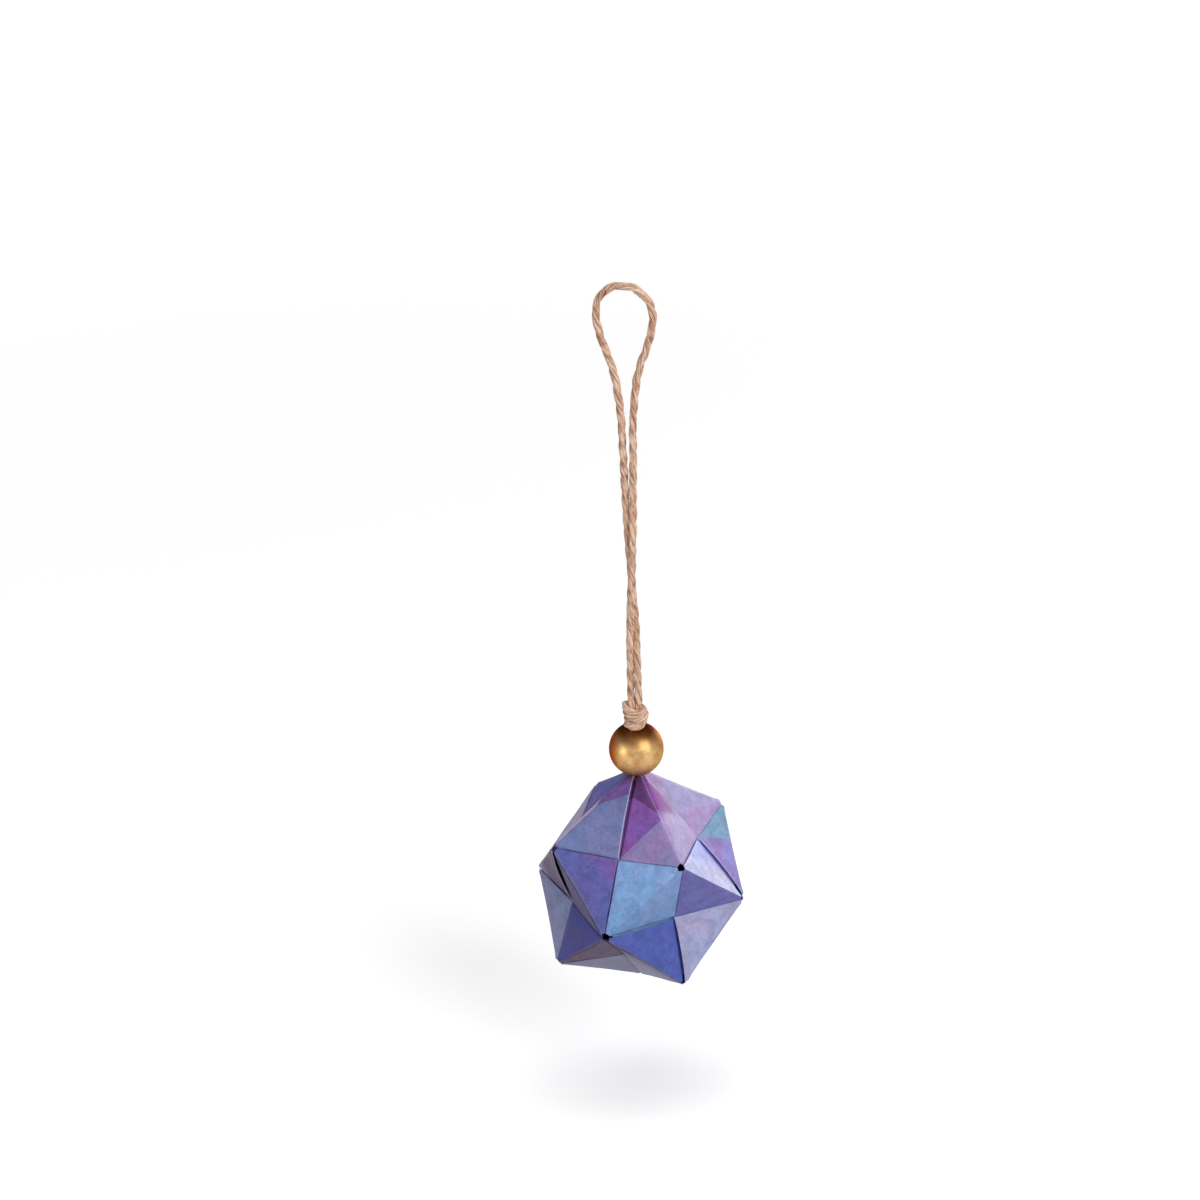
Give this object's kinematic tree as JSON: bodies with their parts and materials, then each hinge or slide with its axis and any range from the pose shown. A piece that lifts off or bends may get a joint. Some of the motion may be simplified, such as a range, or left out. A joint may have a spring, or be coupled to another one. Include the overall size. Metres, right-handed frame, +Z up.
{
  "type": "kusudama paper ball",
  "caption": "Ball folded from interlocking paper units, with a bead on top, hung from a doubled twine loop.",
  "frame": {"origin": "the inside top of the hanging loop, where a hook or peg bears", "axes": "+Z up along the hanging line; the ball hangs below the origin, and the loop's eye lies in the XZ plane"},
  "size_m": [0.0564, 0.0564, 0.1925],
  "materials": {
    "crown_paper": "satin marbled paper, violet to lavender",
    "upper_paper": "satin marbled paper, blue",
    "lower_paper": "satin marbled paper, indigo",
    "base_paper": "satin marbled paper, grey lavender",
    "gold_paint": "wooden bead in satin gold paint",
    "twine": "jute twine, fuzzy"
  },
  "bodies": {
    "root": {"crown_unit_1": "crown_paper", "crown_unit_2": "crown_paper", "crown_unit_3": "crown_paper", "crown_unit_4": "crown_paper", "upper_unit_1": "upper_paper", "upper_unit_2": "upper_paper", "upper_unit_3": "upper_paper", "upper_unit_4": "upper_paper", "upper_unit_5": "upper_paper", "upper_unit_6": "upper_paper", "upper_unit_7": "upper_paper", "upper_unit_8": "upper_paper", "lower_unit_1": "lower_paper", "lower_unit_2": "lower_paper", "lower_unit_3": "lower_paper", "lower_unit_4": "lower_paper", "lower_unit_5": "lower_paper", "lower_unit_6": "lower_paper", "lower_unit_7": "lower_paper", "lower_unit_8": "lower_paper", "base_unit_1": "base_paper", "base_unit_2": "base_paper", "base_unit_3": "base_paper", "base_unit_4": "base_paper", "bead": "gold_paint", "hanging_loop": "twine", "upper_knot": "twine", "bead_strand_left": "twine", "bead_strand_right": "twine", "stop_knot": "twine"}
  },
  "joints": []
}
